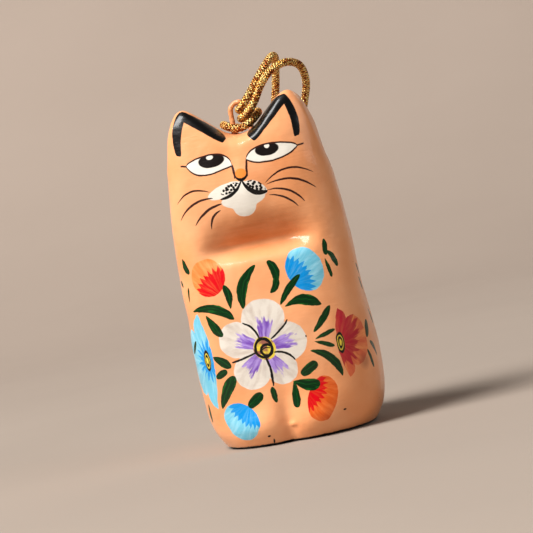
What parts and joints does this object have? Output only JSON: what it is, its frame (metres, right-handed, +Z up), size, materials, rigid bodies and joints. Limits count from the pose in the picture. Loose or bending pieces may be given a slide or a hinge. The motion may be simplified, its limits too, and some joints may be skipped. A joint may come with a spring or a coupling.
{
  "type": "papier-mache cat ornament",
  "caption": "Seated cat ornament moulded in papier-mache and lacquered over a hand-painted face and flowers, with a wire eye on its head and a gold hanging cord.",
  "frame": {"origin": "on the flat underside, at the middle of the cat's width and depth", "axes": "+Z up through the ears, -Y the way the cat faces, +X towards the cat's left side, which is on the right when it is seen from the front"},
  "size_m": [0.0406, 0.0413, 0.0835],
  "materials": {
    "painted_body": "gloss",
    "painted_wire": "gloss",
    "gold_cord": "satin"
  },
  "bodies": {
    "root": {"body": "painted_body", "hanging_loop": "painted_wire", "hanging_cord_left": "gold_cord", "hanging_cord_right": "gold_cord", "cord_knot": "gold_cord"}
  },
  "joints": []
}
